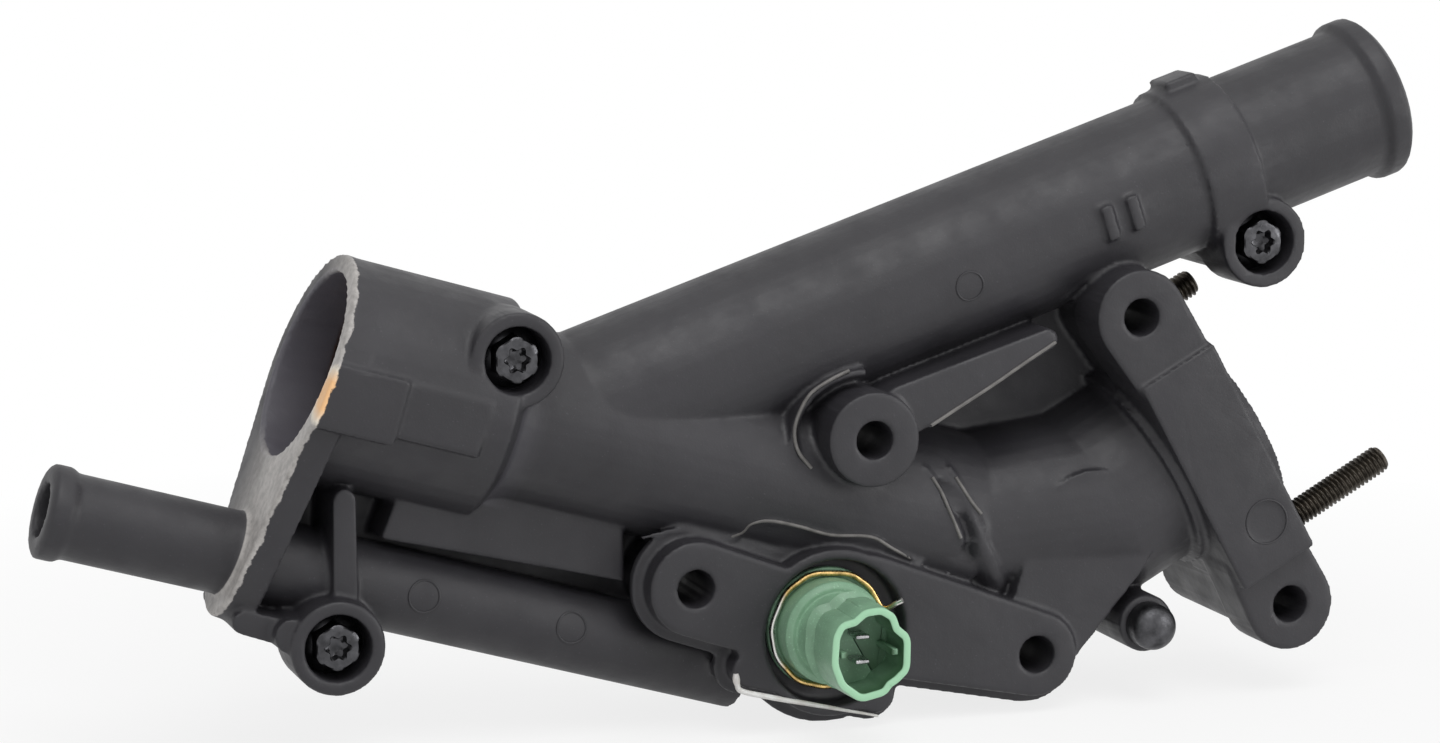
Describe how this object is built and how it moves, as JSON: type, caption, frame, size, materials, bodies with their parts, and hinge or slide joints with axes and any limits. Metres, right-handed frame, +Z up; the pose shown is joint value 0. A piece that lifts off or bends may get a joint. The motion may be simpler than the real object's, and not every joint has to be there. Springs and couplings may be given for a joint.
{
  "type": "engine coolant valve housing",
  "caption": "Moulded nylon coolant housing with radiator stub, pump mouth, heater pipe, wax valve chamber and a clipped temperature sensor.",
  "frame": {"origin": "centre of the head port in the mounting face, which is the plane y = 0", "axes": "+X along the long side toward the radiator stub, +Y into the cylinder head, +Z up"},
  "size_m": [0.2782, 0.0763, 0.1329],
  "materials": {
    "housing_nylon": "satin glass-filled nylon, fine pale specks, worn pale flange rim",
    "black_rubber": "matt moulded rubber",
    "orange_rubber": "matt silicone rubber",
    "dark_steel": "dark plated steel",
    "green_nylon": "satin nylon",
    "brass": "satin brass",
    "tinned_metal": "bright tin",
    "spring_steel": "bright drawn wire and stamped sheet"
  },
  "bodies": {
    "housing_body": {"housing": "housing_nylon", "head_gasket": "black_rubber", "mouth_seal": "orange_rubber", "face_seal": "black_rubber", "bolt_left": "dark_steel", "bolt_middle": "dark_steel", "bolt_right": "dark_steel", "sleeve_left": "dark_steel", "sleeve_middle": "dark_steel", "sleeve_right": "dark_steel", "stud_lower": "dark_steel", "stud_upper": "dark_steel", "vent_plug": "dark_steel", "sensor_body": "green_nylon", "sensor_probe": "brass", "sensor_seal": "black_rubber", "sensor_clip": "brass", "terminal_lower": "tinned_metal", "terminal_upper": "tinned_metal", "valve_frame": "dark_steel", "piston_pin": "spring_steel", "valve_spring": "spring_steel", "retainer_ring": "spring_steel"},
    "valve_slider": {"valve_disc": "dark_steel", "wax_capsule": "brass"}
  },
  "joints": [
    {"name": "valve_lift", "type": "slide", "parent": "housing_body", "child": "valve_slider", "axis": [-0.8746, 0, -0.4848], "range_m": [0, 0.008], "stiffness_N_per_m": 2000, "springref_m": -0.004, "deforming": ["valve_spring"]}
  ]
}
